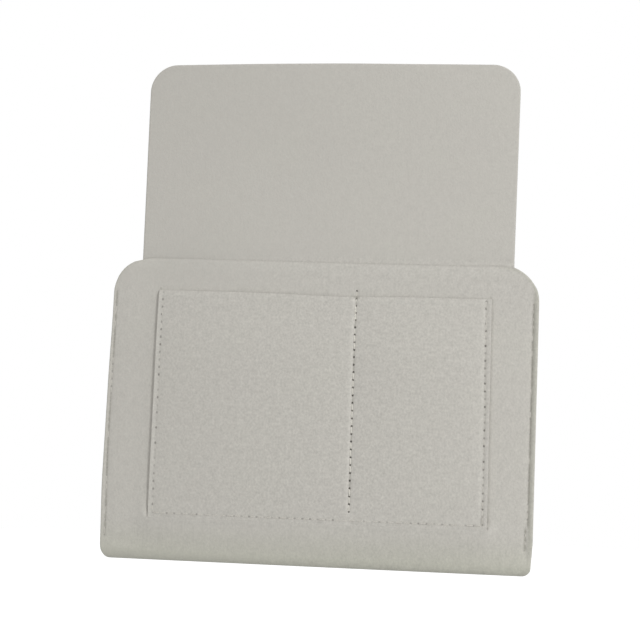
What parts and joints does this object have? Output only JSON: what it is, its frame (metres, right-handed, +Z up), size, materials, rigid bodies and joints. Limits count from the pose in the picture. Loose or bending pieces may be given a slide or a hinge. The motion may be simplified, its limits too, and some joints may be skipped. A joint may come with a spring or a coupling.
{
  "type": "bedside organizer",
  "caption": "Felt caddy that hangs at a bedside by a tuck flap, with a wide main pocket and a stitched patch pocket divided into two on its front.",
  "frame": {"origin": "middle of the crease between tuck flap and pocket, on the flat back face of the felt", "axes": "+Z up along the flap, +X to the right as seen from the front, +Y out of the back, towards the bed that it hangs on"},
  "size_m": [0.33, 0.0224, 0.3905],
  "materials": {
    "body_felt": "matt warm grey felt",
    "flap_felt": "matt warm grey felt",
    "patch_felt": "matt warm grey felt",
    "sewing_thread": "pale spun thread"
  },
  "bodies": {
    "flap": {"tuck_flap": "flap_felt"},
    "pocket": {"pocket_body": "body_felt", "patch_pocket": "patch_felt", "left_seam_needle_thread": "sewing_thread", "left_seam_bobbin_thread": "sewing_thread", "right_seam_needle_thread": "sewing_thread", "right_seam_bobbin_thread": "sewing_thread", "patch_seam_needle_thread": "sewing_thread", "patch_seam_bobbin_thread": "sewing_thread", "divider_needle_thread": "sewing_thread", "divider_bobbin_thread": "sewing_thread"}
  },
  "joints": [
    {"name": "flap_fold", "type": "hinge", "parent": "flap", "child": "pocket", "pos_m": [0, -0.0015, 0], "axis": [1, 0, 0], "range_deg": [-90, 90]}
  ]
}
